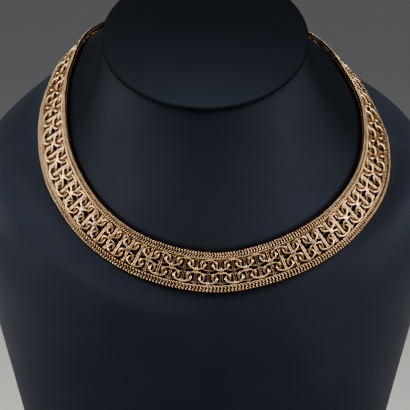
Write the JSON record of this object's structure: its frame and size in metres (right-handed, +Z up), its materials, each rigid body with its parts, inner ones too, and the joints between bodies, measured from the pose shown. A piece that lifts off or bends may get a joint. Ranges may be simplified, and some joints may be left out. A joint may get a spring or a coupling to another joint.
{
  "type": "ribbon necklace on neck bust",
  "caption": "Flat woven ribbon necklace of interlocking ring links between edge chains, closed by a box clasp, lying on a dark slanted neck bust.",
  "frame": {"origin": "middle of the bust's flat base, on the surface it stands on", "axes": "+Z up; -Y is the front, which the neck plate and the middle of the necklace face; +X is the viewer's right"},
  "size_m": [0.1979, 0.138, 0.2546],
  "materials": {
    "bust_leather": "fine dark leatherette, soft sheen",
    "plate_leather": "fine dark leatherette, soft sheen",
    "border_gold": "polished warm gold, woven",
    "link_gold": "polished warm gold",
    "clasp_gold": "polished warm gold"
  },
  "bodies": {
    "root": {"bust": "bust_leather", "neck_plate": "plate_leather", "upper_border": "border_gold", "lower_border": "border_gold", "bar_links": "link_gold", "cross_links": "link_gold", "clasp": "clasp_gold"}
  },
  "joints": []
}
